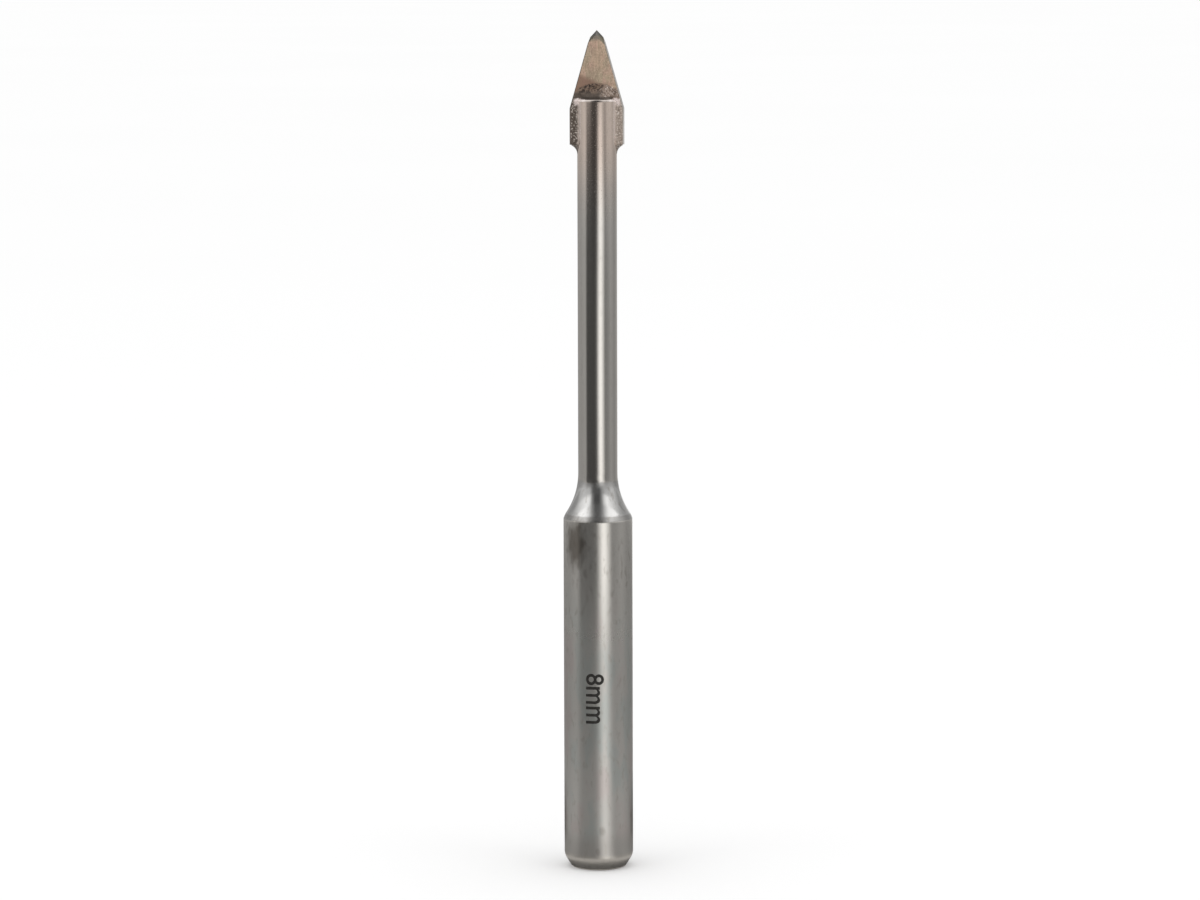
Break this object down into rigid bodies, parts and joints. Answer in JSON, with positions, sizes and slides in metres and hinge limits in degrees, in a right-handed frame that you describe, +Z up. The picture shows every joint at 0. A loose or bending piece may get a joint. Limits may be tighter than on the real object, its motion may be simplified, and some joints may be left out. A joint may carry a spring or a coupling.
{
  "type": "glass and tile drill bit",
  "caption": "Spear-point drill bit for glass and tile: a carbide plate brazed into the slotted end of a slim steel neck, on a thicker plain round shank for a drill chuck.",
  "frame": {"origin": "centre of the flat end of the shank, on which the bit stands", "axes": "+Z up along the bit's axis, from the shank to the point; +X along the width of the carbide plate; +Y across its thickness"},
  "size_m": [0.01, 0.01, 0.1214],
  "materials": {
    "ground_steel": "ground and turned, satin on the shank and brighter on the neck",
    "carbide": "sintered grain, browned by the brazing heat, with ground edges",
    "braze": "dark and glassy with oxide and flux, in a run and grainy skin"
  },
  "bodies": {
    "root": {"steel_body": "ground_steel", "carbide_tip": "carbide", "braze_joint": "braze"}
  },
  "joints": []
}
